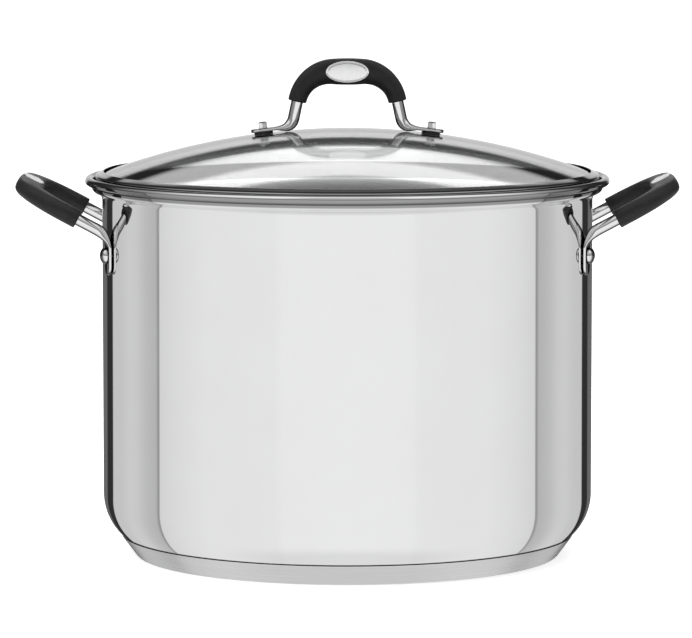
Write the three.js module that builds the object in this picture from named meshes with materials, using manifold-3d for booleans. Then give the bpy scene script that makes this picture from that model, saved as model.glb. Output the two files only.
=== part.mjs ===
// A stainless steel water bath canner: a tall stockpot with an encapsulated base, a domed glass lid
// and a wire jar rack. Millimetres, +Z up, +X along the span of the side handles. The origin is the
// centre of the underside of the base.
import * as THREE from 'three';
import { mergeVertices } from 'three/addons/utils/BufferGeometryUtils.js';
import Module from 'manifold-3d';

const wasm = await Module();
wasm.setup();

// ---------------------------------------------------------------- driving dimensions
const GAP = 0.3;
const FACETS = 48;

const WALL_R = 161;
const WALL = 1;
const FLOOR_Z = 5;
const CORNER_R = 36;
const NECK_Z = 233;
const BEAD = { r: 169.4, z: 247.3, radius: 2.8 };

const BASE_BOTTOM_R = 140;
const BASE_TOP_R = 149.6;
const BASE_TOP_Z = 13.9;
const BASE_SHEET = 0.8;

const TUBE_R = 3.9;
const GRIP_R = 6.1;
const GRIP_MIDDLE = { out: 6, side: 8.8 };
const GRIP_SQUARENESS = 3;
const INLAY = { width: 28.4, height: 14.2, thickness: 1.4, proud: 5.85 };

const ARM_Y = 49;
const ARM_SLOPE = THREE.MathUtils.degToRad(28);
const FOOT = { bottom: 189, thick: 2.6, width: 12, rivet: 201.5 };
const ARM_BEND = { z: 214.6, radius: 14 };
const SLEEVE_START_X = 174.5;
const TIP_X = 208.6;
const LOOP_R = 30;

const RIVET = { shank: 2.5, head: 5.35, height: 3.4, inner: 5, innerHeight: 1.4 };

const DOME_R = 460;
const DOME_TOP = 280.4;
const GLASS = 4;
const GLASS_EDGE_R = 164.2;
const BAND_R = 165.4;

const SCREW_X = 54.8;
const TAIL = { thick: 2.4, width: 12, past: 8.2 };
const ARCH_Z = 318.2;
const ARCH_R = 23.5;
const LEG_BEND = 7.5;
const LEG_LEAN = THREE.MathUtils.degToRad(12);
const LEG_KNEE = { x: 36.41, z: 282.07 };
const LID_SLEEVE_Z = 298.5;
const GASKET = { r: 6.3, thick: 0.9 };
const SCREW = { shank: 2, head: 3, height: 4.1 };
const NUT = { r: 3.8, height: 3.2 };
const WASHER = { r: 5.5, thick: 1.3 };

const RING = { r: 138, wire: 2.5, z: 22 };
const BAR = { wire: 1.8, spacing: 28, count: 10 };
const BRACE = { x: 55, half: 122 };
const RACK_FOOT = { y: 80, r: 2.5 };
const BAIL = { y: 28, reach: 125, corner: 20, wire: 1.8, clearance: 1.2, lean: THREE.MathUtils.degToRad(10) };

// ---------------------------------------------------------------- materials
const finish = (color, roughness, metalness, extra = {}) =>
  new THREE.MeshStandardMaterial({ color, roughness, metalness, ...extra });
const mirrorSteel = finish(0xd9d9d9, 0.08, 1);
const satinSteel = finish(0xc4c4c4, 0.35, 1);
const wireSteel = finish(0xcccccc, 0.2, 1);
const aluminium = finish(0xbfc1c4, 0.45, 1);
const silicone = finish(0x1c1c1d, 0.6, 0);
const clearGlass = finish(0xe9eeee, 0.03, 0, { transparent: true, opacity: 0.35 });

// ---------------------------------------------------------------- solids
// A closed geometry with its shared corners merged and its zero-size faces dropped.
function welded(geometry) {
  const bare = new THREE.BufferGeometry();
  bare.setAttribute('position', geometry.getAttribute('position'));
  bare.setIndex(geometry.getIndex());
  const merged = mergeVertices(bare, 1e-4);
  const corners = merged.getIndex().array;
  const faces = [];
  for (let i = 0; i < corners.length; i += 3) {
    const [a, b, c] = corners.slice(i, i + 3);
    if (a !== b && b !== c && c !== a) {
      faces.push(a, b, c);
    }
  }
  merged.setIndex(faces);
  return merged;
}

function toSolid(geometry) {
  const merged = welded(geometry);
  return new wasm.Manifold(new wasm.Mesh({
    numProp: 3,
    vertProperties: new Float32Array(merged.getAttribute('position').array),
    triVerts: new Uint32Array(merged.getIndex().array),
  }));
}

function toGeometry(solid) {
  const mesh = solid.getMesh();
  const geometry = new THREE.BufferGeometry();
  geometry.setAttribute('position', new THREE.BufferAttribute(new Float32Array(mesh.vertProperties), 3));
  geometry.setIndex(new THREE.BufferAttribute(new Uint32Array(mesh.triVerts), 1));
  return geometry;
}

function cut(geometry, tools) {
  let solid = toSolid(geometry);
  for (const tool of tools) {
    solid = solid.subtract(toSolid(tool));
  }
  return toGeometry(solid);
}

function joined(geometries) {
  let solid = toSolid(geometries[0]);
  for (const geometry of geometries.slice(1)) {
    solid = solid.add(toSolid(geometry));
  }
  return toGeometry(solid);
}

// A profile of [radius, height] points, from the bottom up its outer side, turned about +Z.
function turned(profile, facets = FACETS) {
  const points = profile.map(([r, z]) => new THREE.Vector2(r, z));
  return new THREE.LatheGeometry(points, facets).rotateX(Math.PI / 2);
}

// Points of an arc in a profile, from one angle to another in degrees, both ends included.
function arc(r, z, radius, from, to, steps) {
  return Array.from({ length: steps + 1 }, (_, i) => {
    const angle = THREE.MathUtils.degToRad(from + ((to - from) * i) / steps);
    return [r + radius * Math.cos(angle), z + radius * Math.sin(angle)];
  });
}

// A rod along +Z between two heights.
function rod(radius, low, high, facets) {
  return turned([[0, low], [radius, low], [radius, high], [0, high]], facets);
}

// Skins a row of sections that have the same number of corners. An open row gets two end caps, and
// a looped row is joined back to its first section.
function skinned(sections, looped = false) {
  const corners = sections[0].length;
  const points = sections.flat();
  const faces = [];
  const rows = looped ? sections.length : sections.length - 1;
  for (let i = 0; i < rows; i += 1) {
    for (let j = 0; j < corners; j += 1) {
      const here = i * corners;
      const next = ((i + 1) % sections.length) * corners;
      const k = (j + 1) % corners;
      faces.push(here + j, here + k, next + k, here + j, next + k, next + j);
    }
  }
  if (!looped) {
    const last = (sections.length - 1) * corners;
    for (let j = 1; j < corners - 1; j += 1) {
      faces.push(0, j + 1, j, last, last + j, last + j + 1);
    }
  }
  const geometry = new THREE.BufferGeometry().setFromPoints(points);
  geometry.setIndex(faces);
  return geometry;
}

// Walks a line whose corners are rounded. Each station has a point, a direction and the distance
// travelled. A corner without a radius is a station on a straight run.
function bentLine(corners, spacing, turnSteps) {
  const stations = [];
  const visit = (point, along) => {
    const last = stations.at(-1);
    const step = last ? point.distanceTo(last.point) : 0;
    if (!last || step > 0.01) {
      stations.push({ point, along, run: last ? last.run + step : 0 });
    }
  };
  const walkTo = (target, along) => {
    const start = stations.at(-1).point;
    const parts = Math.max(1, Math.round(start.distanceTo(target) / spacing));
    for (let i = 1; i <= parts; i += 1) {
      visit(start.clone().lerp(target, i / parts), along);
    }
  };
  const heading = (i) => corners[i + 1].at.clone().sub(corners[i].at).normalize();
  visit(corners[0].at, heading(0));
  for (let i = 1; i < corners.length - 1; i += 1) {
    const { at, radius = 0 } = corners[i];
    const before = heading(i - 1);
    const after = heading(i);
    const turn = before.angleTo(after);
    const reach = radius * Math.tan(turn / 2);
    walkTo(at.clone().addScaledVector(before, -reach), before);
    if (radius > 0) {
      const start = at.clone().addScaledVector(before, -reach);
      const inward = after.clone().addScaledVector(before, -Math.cos(turn)).normalize();
      const centre = start.clone().addScaledVector(inward, radius);
      for (let j = 1; j <= turnSteps; j += 1) {
        const angle = (turn * j) / turnSteps;
        const point = centre.clone().addScaledVector(inward, -radius * Math.cos(angle));
        const along = before.clone().multiplyScalar(Math.cos(angle));
        visit(
          point.addScaledVector(before, radius * Math.sin(angle)),
          along.addScaledVector(inward, Math.sin(angle)),
        );
      }
    }
  }
  walkTo(corners.at(-1).at, heading(corners.length - 2));
  return stations;
}

// A section across a station: half sizes towards its facing direction and sideways, from an ellipse
// (squareness 2) to a rounded rectangle.
function section(station, facing, halfOut, halfSide, squareness, sides) {
  const out = facing.clone().projectOnPlane(station.along).normalize();
  const side = new THREE.Vector3().crossVectors(station.along, out);
  const swell = (value) => Math.sign(value) * Math.abs(value) ** (2 / squareness);
  return Array.from({ length: sides }, (_, i) => {
    const angle = (2 * Math.PI * i) / sides;
    return station.point.clone()
      .addScaledVector(out, halfOut * swell(Math.cos(angle)))
      .addScaledVector(side, halfSide * swell(Math.sin(angle)));
  });
}

// ---------------------------------------------------------------- handles
const TUBE_SIDES = 8;
const GRIP_SIDES = 12;
const END_STEPS = [1.2, 3.2, 6, 13];

// Half sizes of a bent tube whose two ends are pressed flat and rounded.
function pressedSize(run, total, flatHalfThick, flatHalfWide, flatLength, easeLength) {
  const fromEnd = Math.min(run, total - run);
  const round = THREE.MathUtils.smoothstep(fromEnd, flatLength, flatLength + easeLength);
  const tip = Math.min(1, fromEnd / flatHalfWide);
  const wide = flatHalfWide * Math.sqrt(0.12 + 0.88 * (1 - (1 - tip) ** 2));
  return {
    thick: THREE.MathUtils.lerp(flatHalfThick, TUBE_R, round),
    wide: THREE.MathUtils.lerp(wide, TUBE_R, round),
  };
}

// The sleeve over the middle of a bent tube: it swells from round ends to a deep, flatter middle.
function sleeve(stations, facing, startRun) {
  const total = stations.at(-1).run;
  const half = total / 2 - startRun;
  const covered = stations.filter(({ run }) => run > startRun - 0.05 && run < total - startRun + 0.05);
  const outer = covered.map((station) => {
    const swell = Math.cos((Math.PI / 2) * (Math.abs(station.run - total / 2) / half)) ** 2;
    const out = THREE.MathUtils.lerp(GRIP_R, GRIP_MIDDLE.out, swell);
    const side = THREE.MathUtils.lerp(GRIP_R, GRIP_MIDDLE.side, swell);
    const squareness = THREE.MathUtils.lerp(2, GRIP_SQUARENESS, swell);
    return section(station, facing, out, side, squareness, GRIP_SIDES);
  });
  const bore = covered.map((station) => (
    section(station, facing, TUBE_R + GAP, TUBE_R + GAP, 2, GRIP_SIDES)
  ));
  return skinned([...outer, ...bore.reverse()], true);
}

// An oval plate of the given outline, its underside at z = 0.
function oval(width, height, thickness) {
  const outline = new THREE.Shape();
  outline.absellipse(0, 0, width / 2, height / 2, 0, 2 * Math.PI);
  return new THREE.ExtrudeGeometry(outline, { depth: thickness, bevelEnabled: false, curveSegments: 12 });
}

// The recess that an inlay sits in, and the inlay, both on the sleeve's middle.
function inlayPair(place) {
  const floor = INLAY.proud - INLAY.thickness;
  const plate = oval(INLAY.width, INLAY.height, INLAY.thickness).translate(0, 0, floor);
  const recess = oval(INLAY.width + 2 * GAP, INLAY.height + 2 * GAP, 6).translate(0, 0, floor - GAP);
  return { plate: plate.applyMatrix4(place), recess: recess.applyMatrix4(place) };
}

const radialFoot = WALL_R + GAP + FOOT.thick / 2;
const footX = Math.sqrt(radialFoot ** 2 - ARM_Y ** 2);
const footAngle = Math.asin(ARM_Y / radialFoot);

// A side handle on the +X side, from its front foot round the loop to its back foot.
function sideHandleLine() {
  const rise = Math.tan(ARM_SLOPE);
  const armZ = (x) => ARM_BEND.z + (x - footX) * rise;
  const arm = (x) => new THREE.Vector3(x, -ARM_Y, armZ(x));
  const front = [
    { at: new THREE.Vector3(footX, -ARM_Y, FOOT.bottom) },
    ...END_STEPS.map((step) => ({ at: new THREE.Vector3(footX, -ARM_Y, FOOT.bottom + step) })),
    { at: new THREE.Vector3(footX, -ARM_Y, ARM_BEND.z), radius: ARM_BEND.radius },
    { at: arm(SLEEVE_START_X) },
    { at: arm(TIP_X), radius: LOOP_R },
  ];
  const back = front.map(({ at, radius }) => ({ at: at.clone().setY(-at.y), radius })).reverse();
  return bentLine([...front, ...back], 14, 6);
}

// The direction that the flat of a side handle faces: off the wall at the feet, and square to the
// loop's plane elsewhere.
function sideFacing(station) {
  const wall = new THREE.Vector3(Math.cos(footAngle), Math.sign(station.point.y) * Math.sin(footAngle), 0);
  const loop = new THREE.Vector3(Math.sin(ARM_SLOPE), 0, -Math.cos(ARM_SLOPE));
  const height = THREE.MathUtils.smoothstep(station.point.z, FOOT.rivet + 4, FOOT.rivet + 17);
  return station.point.x > footX + 4 ? loop : wall.lerp(new THREE.Vector3(1, 0, 0), height);
}

function rivetPlace(side, front) {
  const angle = Math.atan2(front * Math.sin(footAngle), side * Math.cos(footAngle));
  return new THREE.Matrix4()
    .makeTranslation(0, 0, FOOT.rivet)
    .multiply(new THREE.Matrix4().makeRotationZ(angle))
    .multiply(new THREE.Matrix4().makeRotationY(Math.PI / 2));
}

function rivetHole(side, front) {
  return rod(RIVET.shank + GAP, 150, 172, 12).applyMatrix4(rivetPlace(side, front));
}

function sideHandle(side) {
  const line = sideHandleLine();
  const total = line.at(-1).run;
  const tube = skinned(line.map((station) => {
    const size = pressedSize(station.run, total, FOOT.thick / 2, FOOT.width / 2, 17, 14);
    return section(station, sideFacing(station), size.thick, size.wide, 2, TUBE_SIDES);
  }));
  const sleeveStart = line.find(({ point }) => point.x > SLEEVE_START_X - 0.05).run;
  const loop = new THREE.Vector3(Math.sin(ARM_SLOPE), 0, -Math.cos(ARM_SLOPE));
  const tip = line.reduce((best, station) => (
    Math.abs(station.run - total / 2) < Math.abs(best.run - total / 2) ? station : best
  ));
  const place = new THREE.Matrix4().makeBasis(
    new THREE.Vector3(0, 1, 0),
    new THREE.Vector3(-Math.cos(ARM_SLOPE), 0, -Math.sin(ARM_SLOPE)),
    loop.clone().negate(),
  ).setPosition(tip.point.x, 0, tip.point.z);
  const { plate, recess } = inlayPair(place);
  const turn = side > 0 ? 0 : Math.PI;
  const grip = cut(sleeve(line, loop, sleeveStart), [recess]).rotateZ(turn);
  const drilled = cut(tube.rotateZ(turn), [rivetHole(side, -1), rivetHole(side, 1)]);
  return { tube: drilled, grip, inlay: plate.rotateZ(turn) };
}

// A rivet along +Z, through the wall and the pressed foot.
function rivet() {
  const innerFace = WALL_R - WALL - 0.8;
  const outerFace = WALL_R + GAP + FOOT.thick + GAP;
  return turned([
    [0, innerFace - RIVET.innerHeight],
    [RIVET.inner * 0.6, innerFace - RIVET.innerHeight],
    [RIVET.inner, innerFace - 0.4],
    [RIVET.inner, innerFace],
    [RIVET.shank, innerFace],
    [RIVET.shank, outerFace],
    [RIVET.head, outerFace],
    [RIVET.head, outerFace + 0.6],
    [RIVET.head * 0.86, outerFace + RIVET.height * 0.56],
    [RIVET.head * 0.5, outerFace + RIVET.height * 0.9],
    [0, outerFace + RIVET.height],
  ], 12);
}

// ---------------------------------------------------------------- pot
function potBody() {
  const cornerZ = FLOOR_Z + CORNER_R;
  const cornerX = WALL_R - CORNER_R;
  const outer = [
    [0, FLOOR_Z],
    ...arc(cornerX, cornerZ, CORNER_R, -90, 0, 6),
    [WALL_R, NECK_Z],
    [WALL_R, NECK_Z + 3],
    [WALL_R + 0.7, NECK_Z + 4.4],
    [WALL_R + 2.6, NECK_Z + 5.9],
    [WALL_R + 4.8, NECK_Z + 7.1],
    [WALL_R + 6.2, NECK_Z + 8.4],
    [WALL_R + 7, NECK_Z + 9.9],
  ];
  const bead = arc(BEAD.r, BEAD.z, BEAD.radius, -125, 200, 8);
  const inner = [
    [WALL_R + 5.9, NECK_Z + 10.2],
    [WALL_R + 5.3, NECK_Z + 9.1],
    [WALL_R + 4.2, NECK_Z + 8],
    [WALL_R + 2, NECK_Z + 6.8],
    [WALL_R - 0.1, NECK_Z + 5.1],
    [WALL_R - WALL, NECK_Z + 3.3],
    ...arc(cornerX, cornerZ, CORNER_R - WALL, 0, -90, 6),
    [0, FLOOR_Z + WALL],
  ];
  const shell = turned([...outer, ...bead, ...inner]);
  return cut(shell, [rivetHole(1, -1), rivetHole(1, 1), rivetHole(-1, -1), rivetHole(-1, 1)]);
}

const slope = new THREE.Vector2(BASE_TOP_R - BASE_BOTTOM_R, BASE_TOP_Z - 1).normalize();

// A point on the base's side, a given depth in from the outside, at a share of its height.
function baseSide(depth, share) {
  const r = THREE.MathUtils.lerp(BASE_BOTTOM_R, BASE_TOP_R, share);
  const z = THREE.MathUtils.lerp(1, BASE_TOP_Z, share);
  return [r - depth * slope.y, z + depth * slope.x];
}

function baseCap() {
  return turned([
    [0, 0],
    [BASE_BOTTOM_R - 1.6, 0],
    [BASE_BOTTOM_R - 0.5, 0.3],
    baseSide(0, 0),
    baseSide(0, 1),
    baseSide(BASE_SHEET, 0.9),
    baseSide(BASE_SHEET, 0.04),
    [BASE_BOTTOM_R - 1.7, BASE_SHEET],
    [0, BASE_SHEET],
  ]);
}

function baseCore() {
  const depth = BASE_SHEET + GAP;
  const bottom = BASE_SHEET + GAP;
  const top = FLOOR_Z - GAP;
  return turned([
    [0, bottom],
    [BASE_BOTTOM_R - 2.6, bottom],
    baseSide(depth, 0.08),
    baseSide(depth, 0.8),
    ...arc(WALL_R - CORNER_R, FLOOR_Z + CORNER_R, CORNER_R + GAP, -61, -90, 3),
    [0, top],
  ]);
}

// ---------------------------------------------------------------- lid
const domeZ = (r, depth = 0) => (
  DOME_TOP - DOME_R + Math.sqrt((DOME_R - depth) ** 2 - r ** 2)
);

// A frame at a lid screw: its z runs square off the glass, with z = 0 on the glass.
function screwPlace(side) {
  return new THREE.Matrix4()
    .makeTranslation(0, 0, DOME_TOP - DOME_R)
    .multiply(new THREE.Matrix4().makeRotationY(side * Math.asin(SCREW_X / DOME_R)))
    .multiply(new THREE.Matrix4().makeTranslation(0, 0, DOME_R));
}

function lidGlass() {
  const steps = 6;
  const rings = Array.from({ length: steps + 1 }, (_, i) => (GLASS_EDGE_R * i) / steps);
  const under = rings.map((r) => [Math.min(r, GLASS_EDGE_R - 1), domeZ(Math.min(r, GLASS_EDGE_R - 1), GLASS)]);
  const over = rings.map((r) => [r, domeZ(r)]).reverse();
  const holes = [-1, 1].map((side) => rod(SCREW.shank + GAP, -8, 4, 12).applyMatrix4(screwPlace(side)));
  return cut(turned([...under, ...over]), holes);
}

// The steel band round the edge of the glass: a channel with its open side inwards.
function lidBand() {
  const edgeZ = domeZ(GLASS_EDGE_R);
  return turned([
    [BAND_R - 2.6, edgeZ - 9.8],
    [BAND_R, edgeZ - 5.2],
    [BAND_R, edgeZ + 0.9],
    ...arc(BAND_R - 1.5, edgeZ + 0.9, 1.5, 40, 90, 1),
    [BAND_R - 4.8, edgeZ + 3.3],
    [BAND_R - 5.4, edgeZ + 2.5],
    [BAND_R - 0.8, edgeZ + 0.9],
    [BAND_R - 0.8, edgeZ - 4.8],
    [BAND_R - 1.9, edgeZ - 5.9],
    [BAND_R - 5.1, edgeZ - 3.1],
    [BAND_R - 5.8, edgeZ - 3.5],
    [BAND_R - 2.6, edgeZ - 9.8],
  ]);
}

function lidHandleLine() {
  const tilt = Math.asin(SCREW_X / DOME_R);
  const lift = GASKET.thick + 2 * GAP + TAIL.thick / 2;
  const centre = new THREE.Vector3(0, lift, 0);
  const onTail = (out) => {
    const point = centre.clone().setX(out).applyMatrix4(new THREE.Matrix4().makeRotationZ(-tilt));
    return new THREE.Vector3(
      -(SCREW_X + point.x),
      0,
      domeZ(SCREW_X) + point.y,
    );
  };
  const archX = LEG_KNEE.x - (ARCH_Z - LEG_KNEE.z) * Math.tan(LEG_LEAN);
  const sleeveX = LEG_KNEE.x - (LID_SLEEVE_Z - LEG_KNEE.z) * Math.tan(LEG_LEAN);
  const left = [
    { at: onTail(TAIL.past) },
    ...END_STEPS.map((step) => ({ at: onTail(TAIL.past - step) })),
    { at: new THREE.Vector3(-LEG_KNEE.x, 0, LEG_KNEE.z), radius: LEG_BEND },
    { at: new THREE.Vector3(-sleeveX, 0, LID_SLEEVE_Z) },
    { at: new THREE.Vector3(-archX, 0, ARCH_Z), radius: ARCH_R },
    { at: new THREE.Vector3(0, 0, ARCH_Z) },
  ];
  const right = left.slice(0, -1).map(({ at, radius }) => ({ at: at.clone().setX(-at.x), radius })).reverse();
  return bentLine([...left, ...right], 10, 5);
}

function lidHandle() {
  const facing = new THREE.Vector3(0, -1, 0);
  const line = lidHandleLine();
  const total = line.at(-1).run;
  const tube = skinned(line.map((station) => {
    const size = pressedSize(station.run, total, TAIL.thick / 2, TAIL.width / 2, 16, 12);
    return section(station, facing, size.wide, size.thick, 2, TUBE_SIDES);
  }));
  const holes = [-1, 1].map((side) => rod(SCREW.shank + GAP, -2, 12, 12).applyMatrix4(screwPlace(side)));
  const sleeveStart = line.find(({ point }) => point.z > LID_SLEEVE_Z - 0.05).run;
  const place = new THREE.Matrix4().makeBasis(
    new THREE.Vector3(1, 0, 0),
    new THREE.Vector3(0, 0, 1),
    facing,
  ).setPosition(0, 0, ARCH_Z);
  const { plate, recess } = inlayPair(place);
  return { tube: cut(tube, holes), grip: cut(sleeve(line, facing, sleeveStart), [recess]), inlay: plate };
}

// The pieces stacked on each lid screw, from under the glass to the screw's head.
function screwStack(side) {
  const place = screwPlace(side);
  const bore = SCREW.shank + GAP;
  const washerTop = -GLASS - GAP;
  const nutTop = washerTop - WASHER.thick - GAP;
  const headBottom = GASKET.thick + 3 * GAP + TAIL.thick;
  const collar = (radius, low, high, facets) => turned([
    [bore, low], [radius, low], [radius, high], [bore, high], [bore, low],
  ], facets);
  return {
    gasket: collar(GASKET.r, GAP, GAP + GASKET.thick, 16).applyMatrix4(place),
    washer: collar(WASHER.r, washerTop - WASHER.thick, washerTop, 16).applyMatrix4(place),
    nut: collar(NUT.r, nutTop - NUT.height, nutTop, 12).applyMatrix4(place),
    screw: turned([
      [0, nutTop - NUT.height - 1],
      [SCREW.shank, nutTop - NUT.height - 1],
      [SCREW.shank, headBottom],
      [SCREW.head, headBottom],
      [SCREW.head, headBottom + SCREW.height * 0.7],
      [SCREW.head * 0.7, headBottom + SCREW.height],
      [0, headBottom + SCREW.height],
    ], 12).applyMatrix4(place),
  };
}

// ---------------------------------------------------------------- jar rack
const barZ = RING.z + RING.wire + GAP + BAR.wire;
const braceZ = barZ - 2 * BAR.wire - GAP;
const hingeX = Math.sqrt(RING.r ** 2 - BAIL.y ** 2);

function rackBar(y) {
  const half = Math.sqrt(RING.r ** 2 - y ** 2) + 1;
  return rod(BAR.wire, -half, half, 8).rotateY(Math.PI / 2).translate(0, y, barZ);
}

// A lifting bail on the +X side: a bent wire that ends in two eyes round the rack's ring.
function rackBail() {
  const eyeR = RING.wire + BAIL.clearance + BAIL.wire;
  const up = new THREE.Vector3(Math.sin(BAIL.lean), 0, Math.cos(BAIL.lean));
  const at = (y, reach) => new THREE.Vector3(hingeX, y, RING.z).addScaledVector(up, reach);
  const line = bentLine([
    { at: at(-BAIL.y, eyeR) },
    { at: at(-BAIL.y, BAIL.reach), radius: BAIL.corner },
    { at: at(BAIL.y, BAIL.reach), radius: BAIL.corner },
    { at: at(BAIL.y, eyeR) },
  ], 60, 4);
  const wire = skinned(line.map((station) => (
    section(station, new THREE.Vector3(1, 0, 0), BAIL.wire, BAIL.wire, 2, 6)
  )));
  const eyes = [-1, 1].map((end) => (
    new THREE.TorusGeometry(eyeR, BAIL.wire, 6, 14).rotateX(Math.PI / 2)
      .translate(hingeX, end * BAIL.y, RING.z)
  ));
  return joined([wire, ...eyes]);
}

// ---------------------------------------------------------------- assembly
const canner = new THREE.Group();

function add(group, name, geometry, material) {
  const clean = welded(geometry);
  clean.computeVertexNormals();
  const mesh = new THREE.Mesh(clean, material);
  mesh.name = name;
  group.add(mesh);
}

const pot = new THREE.Group();
add(pot, 'pot_body', potBody(), mirrorSteel);
add(pot, 'base_core', baseCore(), aluminium);
add(pot, 'base_cap', baseCap(), satinSteel);
for (const [label, side] of [['left', -1], ['right', 1]]) {
  const handle = sideHandle(side);
  add(pot, `handle_tube_${label}`, handle.tube, mirrorSteel);
  add(pot, `handle_grip_${label}`, handle.grip, silicone);
  add(pot, `handle_inlay_${label}`, handle.inlay, mirrorSteel);
  for (const [end, front] of [['front', -1], ['back', 1]]) {
    add(pot, `rivet_${label}_${end}`, rivet().applyMatrix4(rivetPlace(side, front)), mirrorSteel);
  }
}
canner.add(pot);

const lid = new THREE.Group();
const lidGrip = lidHandle();
add(lid, 'lid_glass', lidGlass(), clearGlass);
add(lid, 'lid_band', lidBand(), mirrorSteel);
add(lid, 'lid_handle_tube', lidGrip.tube, mirrorSteel);
add(lid, 'lid_handle_grip', lidGrip.grip, silicone);
add(lid, 'lid_handle_inlay', lidGrip.inlay, mirrorSteel);
for (const [label, side] of [['left', -1], ['right', 1]]) {
  const stack = screwStack(side);
  add(lid, `lid_gasket_${label}`, stack.gasket, silicone);
  add(lid, `lid_screw_${label}`, stack.screw, mirrorSteel);
  add(lid, `lid_washer_${label}`, stack.washer, silicone);
  add(lid, `lid_nut_${label}`, stack.nut, mirrorSteel);
}
canner.add(lid);

const rack = new THREE.Group();
const ring = new THREE.TorusGeometry(RING.r, RING.wire, 6, FACETS).translate(0, 0, RING.z);
add(rack, 'rack_ring', ring, wireSteel);
for (let i = 0; i < BAR.count; i += 1) {
  const y = (i - (BAR.count - 1) / 2) * BAR.spacing;
  add(rack, `rack_bar_${i + 1}`, rackBar(y), wireSteel);
}
for (const [label, side] of [['left', -1], ['right', 1]]) {
  const brace = rod(BAR.wire, -BRACE.half, BRACE.half, 8).rotateX(Math.PI / 2);
  add(rack, `rack_brace_${label}`, brace.translate(side * BRACE.x, 0, braceZ), wireSteel);
  for (const [end, front] of [['front', -1], ['back', 1]]) {
    const foot = rod(RACK_FOOT.r, FLOOR_Z + WALL + GAP, braceZ - BAR.wire - GAP, 10);
    add(rack, `rack_foot_${label}_${end}`, foot.translate(side * BRACE.x, front * RACK_FOOT.y, 0), wireSteel);
  }
  add(rack, `rack_bail_${label}`, rackBail().rotateZ(side > 0 ? 0 : Math.PI), wireSteel);
}
canner.add(rack);

export default canner;
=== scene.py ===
"""The looks of the water bath canner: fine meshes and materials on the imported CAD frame."""
import math

import bmesh
import bpy
from mathutils import Matrix, Vector


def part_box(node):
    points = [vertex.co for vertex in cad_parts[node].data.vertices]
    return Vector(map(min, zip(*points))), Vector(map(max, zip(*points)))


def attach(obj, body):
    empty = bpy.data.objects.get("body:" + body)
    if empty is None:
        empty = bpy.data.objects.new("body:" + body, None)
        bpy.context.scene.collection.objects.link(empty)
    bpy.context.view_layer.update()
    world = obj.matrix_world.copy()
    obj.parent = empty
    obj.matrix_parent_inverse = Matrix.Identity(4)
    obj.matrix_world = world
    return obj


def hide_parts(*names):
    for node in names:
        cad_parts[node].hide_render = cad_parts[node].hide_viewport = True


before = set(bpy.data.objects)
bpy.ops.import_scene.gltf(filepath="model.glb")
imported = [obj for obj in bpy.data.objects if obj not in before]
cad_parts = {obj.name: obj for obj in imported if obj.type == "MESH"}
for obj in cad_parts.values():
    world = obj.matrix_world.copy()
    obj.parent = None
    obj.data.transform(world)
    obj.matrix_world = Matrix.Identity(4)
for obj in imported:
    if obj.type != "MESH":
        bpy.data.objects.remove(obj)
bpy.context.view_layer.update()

# ------------------------------------------------------------------ sizes, in millimetres
MM = 0.001
AROUND = 288
GAP = 0.3


def cad(node):
    """Lowest and highest corner of a CAD node, in millimetres."""
    low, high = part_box(node)
    return low / MM, high / MM


body_low, body_high = cad("pot_body")
cap_high = cad("base_cap")[1]
band_high = cad("lid_band")[1]
glass_high = cad("lid_glass")[1]
ring_high = cad("rack_ring")[1]
lid_grip_high = cad("lid_handle_grip")[1]
side_tube_low = cad("handle_tube_right")[0]

# Pot
BEAD_R = 2.8
BEAD_OUT = body_high.x
BEAD_Z = body_high.z - BEAD_R
WALL_R = BEAD_OUT - 11.2
WALL = 1.0
FLOOR_Z = body_low.z
CORNER_R = 36.0
NECK_Z = BEAD_Z - 14.3
PAINTED_SHOULDER_Z = NECK_Z + 8.8
RIM_TOP = BEAD_Z + BEAD_R

# Base
BASE_TOP_R = cap_high.x
BASE_BOTTOM_R = BASE_TOP_R - 9.6
BASE_TOP_Z = cap_high.z
BASE_SHEET = 0.8

# Tubes, sleeves and inlays
TUBE_R = 3.9
SLEEVE_R = 6.1
SLEEVE_OUT = 5.97
SLEEVE_SIDE = 8.75
SLEEVE_SQUARENESS = 3.0
INLAY_WIDE = 28.4
INLAY_HIGH = 14.2
INLAY_FLOOR = 4.45
INLAY_TOP = 5.85

# Side handles
ARM_Y = 49.0
ARM_SLOPE = math.radians(28)
FOOT_BOTTOM = side_tube_low.z
FOOT_THICK = 2.6
FOOT_WIDE = 12.0
RIVET_Z = FOOT_BOTTOM + 12.5
ARM_KNEE_Z = FOOT_BOTTOM + 25.6
ARM_BEND_R = 14.0
SLEEVE_START_X = WALL_R + 13.5
TIP_X = WALL_R + 47.58
LOOP_R = 30.0
RIVET_SHANK = 2.5
RIVET_HEAD = 5.35

# Lid
DOME_R = 460.0
DOME_TOP = glass_high.z
GLASS = 4.0
GLASS_EDGE = glass_high.x
BAND_R = band_high.x
SCREW_X = 54.8
TAIL_THICK = 2.4
TAIL_WIDE = 12.0
TAIL_PAST = 8.2
ARCH_TOP = lid_grip_high.z
ARCH_Z = ARCH_TOP - 8.8
ARCH_R = 23.5
LEG_BEND_R = 7.5
LEG_LEAN = math.radians(12)
KNEE_X = 36.41
KNEE_Z = ARCH_Z - 36.13
LID_SLEEVE_Z = ARCH_Z - 19.7
GASKET_R = 6.3
GASKET_THICK = 0.9
SCREW_SHANK = 2.0
SCREW_HEAD = 3.0
SCREW_HEIGHT = 4.1

# Rack
RACK_WIRE = 2.5
RACK_R = ring_high.x - RACK_WIRE
RACK_Z = ring_high.z - 2.2
ROD_R = 1.8
BAR_COUNT = 10
BAR_SPACING = 28.0
BAIL_Y = 28.0
BAIL_REACH = 125.0
BAIL_CORNER = 20.0
BAIL_LEAN = math.radians(10)
EYE_R = RACK_WIRE + 1.2 + ROD_R

SIDES = {"left": -1, "right": 1}
ENDS = {"front": -1, "back": 1}


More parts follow.
